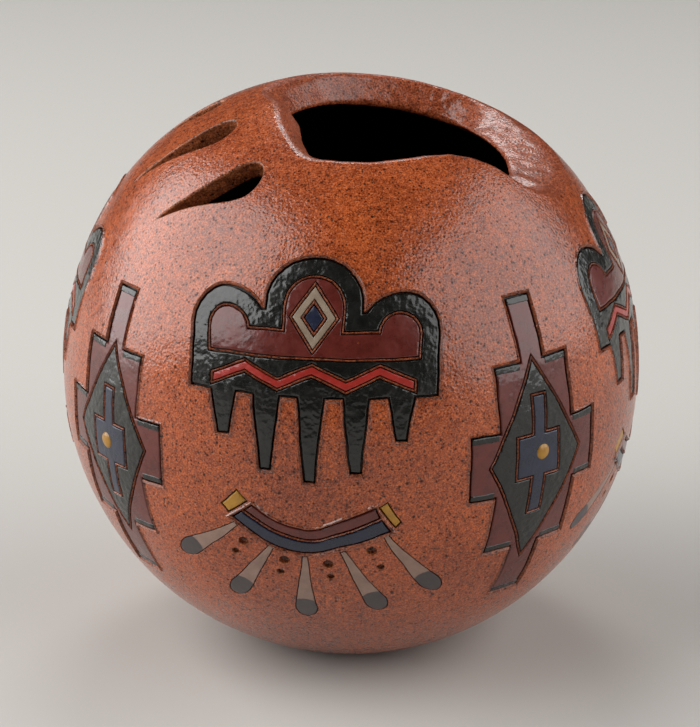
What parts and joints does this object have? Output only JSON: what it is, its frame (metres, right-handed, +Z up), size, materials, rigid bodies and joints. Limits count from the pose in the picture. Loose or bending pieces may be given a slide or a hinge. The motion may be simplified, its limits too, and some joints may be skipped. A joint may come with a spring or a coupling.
{
  "type": "seed pot",
  "caption": "Round hollow earthenware seed pot with a paw-shaped mouth and claw slots cut in its shoulder, and carved side panels inlaid with coloured slip.",
  "frame": {"origin": "middle of the flat foot, which is the bottom centre of the part's bounds", "axes": "+Z up through the pot's axis of revolution, front with the main panel faces -Y, +X to the right as seen from the front"},
  "size_m": [0.15, 0.15, 0.1469],
  "materials": {
    "clay": "speckled burnished red-brown clay",
    "maroon_slip": "dark maroon slip, satin",
    "black_slip": "black slip, semi-gloss and slightly lumpy",
    "grey_slip": "warm grey slip, satin",
    "blue_slip": "dark blue slip, satin",
    "red_slip": "bright red slip, satin",
    "ochre_slip": "ochre slip, satin"
  },
  "bodies": {
    "root": {"pot_wall": "clay", "cross_1_steps_maroon": "maroon_slip", "cross_1_diamond_black": "black_slip", "cross_1_cross_blue": "blue_slip", "cross_1_dot_ochre": "ochre_slip", "cross_2_steps_maroon": "maroon_slip", "cross_2_diamond_black": "black_slip", "cross_2_cross_blue": "blue_slip", "cross_2_dot_ochre": "ochre_slip", "cross_3_steps_maroon": "maroon_slip", "cross_3_diamond_black": "black_slip", "cross_3_cross_blue": "blue_slip", "cross_3_dot_ochre": "ochre_slip", "cross_4_steps_maroon": "maroon_slip", "cross_4_diamond_black": "black_slip", "cross_4_cross_blue": "blue_slip", "cross_4_dot_ochre": "ochre_slip", "panel_1_cloud_black": "black_slip", "panel_1_heart_maroon": "maroon_slip", "panel_1_lozenge_grey": "grey_slip", "panel_1_lozenge_blue": "blue_slip", "panel_1_lightning_red": "red_slip", "panel_2_cloud_black": "black_slip", "panel_2_heart_maroon": "maroon_slip", "panel_2_lozenge_grey": "grey_slip", "panel_2_lozenge_blue": "blue_slip", "panel_2_lightning_red": "red_slip", "panel_3_cloud_black": "black_slip", "panel_3_heart_maroon": "maroon_slip", "panel_3_lozenge_grey": "grey_slip", "panel_3_lozenge_blue": "blue_slip", "panel_3_lightning_red": "red_slip", "panel_4_cloud_black": "black_slip", "panel_4_heart_maroon": "maroon_slip", "panel_4_lozenge_grey": "grey_slip", "panel_4_lozenge_blue": "blue_slip", "panel_4_lightning_red": "red_slip", "fan_1_band_maroon": "maroon_slip", "fan_1_band_blue": "blue_slip", "fan_1_tab_left_ochre": "ochre_slip", "fan_1_tab_right_ochre": "ochre_slip", "fan_2_band_maroon": "maroon_slip", "fan_2_band_blue": "blue_slip", "fan_2_tab_left_ochre": "ochre_slip", "fan_2_tab_right_ochre": "ochre_slip", "fan_3_band_maroon": "maroon_slip", "fan_3_band_blue": "blue_slip", "fan_3_tab_left_ochre": "ochre_slip", "fan_3_tab_right_ochre": "ochre_slip", "fan_4_band_maroon": "maroon_slip", "fan_4_band_blue": "blue_slip", "fan_4_tab_left_ochre": "ochre_slip", "fan_4_tab_right_ochre": "ochre_slip"}
  },
  "joints": []
}
